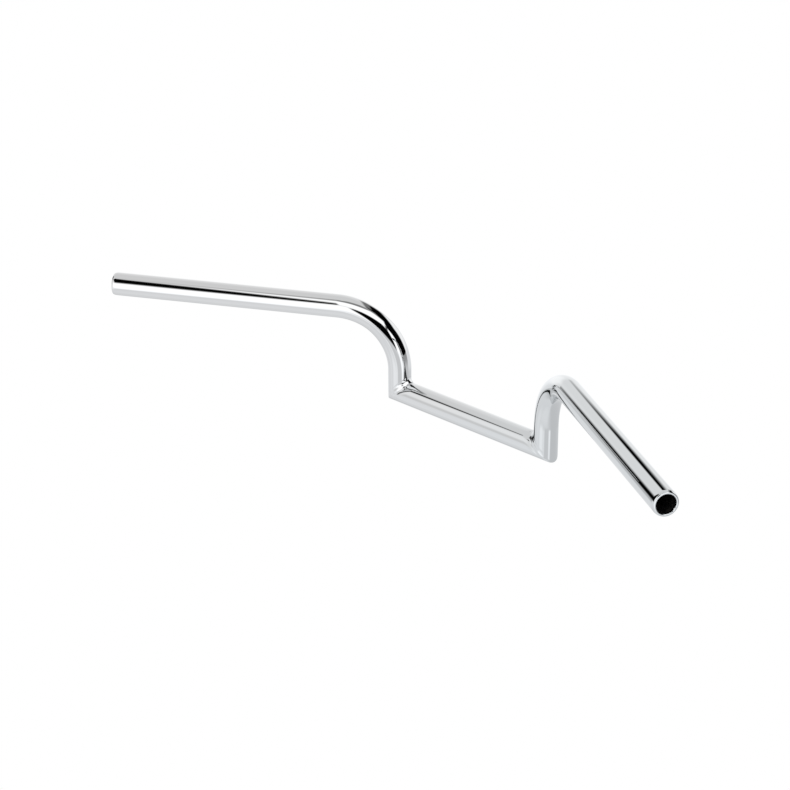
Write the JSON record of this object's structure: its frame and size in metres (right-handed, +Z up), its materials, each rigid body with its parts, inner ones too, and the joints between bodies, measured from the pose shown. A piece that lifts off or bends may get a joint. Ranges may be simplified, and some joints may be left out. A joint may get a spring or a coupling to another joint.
{
  "type": "motorcycle handlebar",
  "caption": "Z-shaped motorcycle handlebar: a straight clamping tube with mitred, welded risers, each bent into a straight swept-back grip tube, chrome plated.",
  "frame": {"origin": "middle of the straight clamping tube, on its centreline", "axes": "+X along the clamping tube to the rider's right, +Y forwards, +Z up along the two risers; the grips sweep back towards -Y"},
  "size_m": [0.7486, 0.1927, 0.1305],
  "materials": {
    "chrome_plate": "mirror-bright decorative chrome over polished steel tube",
    "chrome_weld": "bright chrome over a weld that was dressed flush and buffed"
  },
  "bodies": {
    "root": {"centre_clamp_tube": "chrome_plate", "right_arm_tube": "chrome_plate", "left_arm_tube": "chrome_plate", "right_weld_bead": "chrome_weld", "left_weld_bead": "chrome_weld"}
  },
  "joints": []
}
